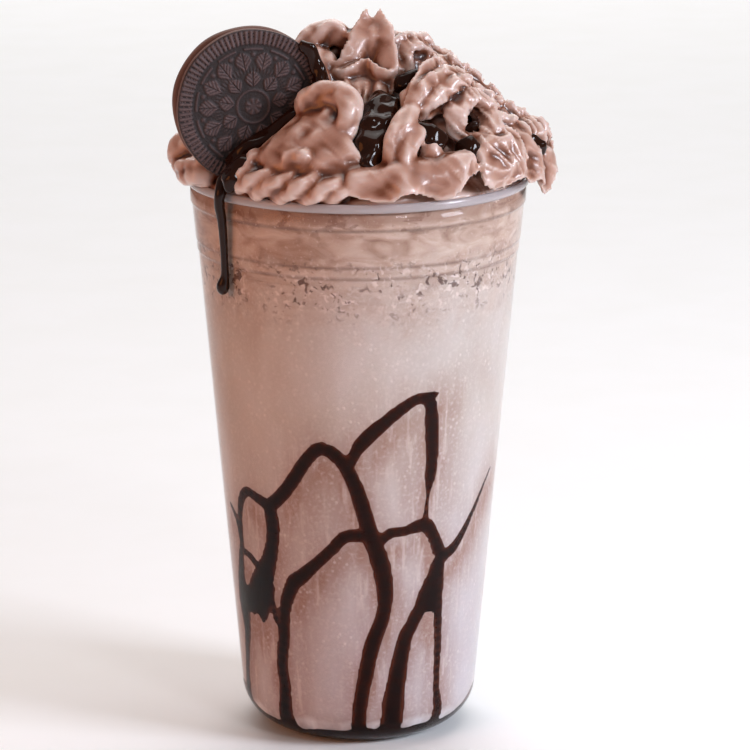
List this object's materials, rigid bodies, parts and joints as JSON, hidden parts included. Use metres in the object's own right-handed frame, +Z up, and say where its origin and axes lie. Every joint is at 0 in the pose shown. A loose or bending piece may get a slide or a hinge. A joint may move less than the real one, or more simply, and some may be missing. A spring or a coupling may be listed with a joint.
{
  "type": "chocolate milkshake in a clear plastic cup",
  "caption": "Tall clear plastic cup of chocolate milkshake with drizzled syrup, piped chocolate cream, syrup and a dark sandwich cookie.",
  "frame": {"origin": "centre of the plane that the cup's foot stands on, on the cup's axis", "axes": "+Z up along the cup's axis; -Y is the front, the side that the picture shows, with the cookie at its left (-X)"},
  "size_m": [0.1113, 0.1008, 0.212],
  "materials": {
    "clear_plastic": "clear, glossy",
    "shake": "creamy, slightly glossy where it wets the wall",
    "syrup": "wet gloss",
    "foam": "airy, with small holes",
    "cream": "soft satin",
    "wafer": "dry, finely grained",
    "filling": "matt cream filling"
  },
  "bodies": {
    "root": {"cup": "clear_plastic", "shake": "shake", "syrup_inside": "syrup", "foam_layer": "foam", "cream": "cream", "cookie_front_wafer": "wafer", "cookie_filling": "filling", "cookie_back_wafer": "wafer", "syrup_drip": "syrup"}
  },
  "joints": []
}
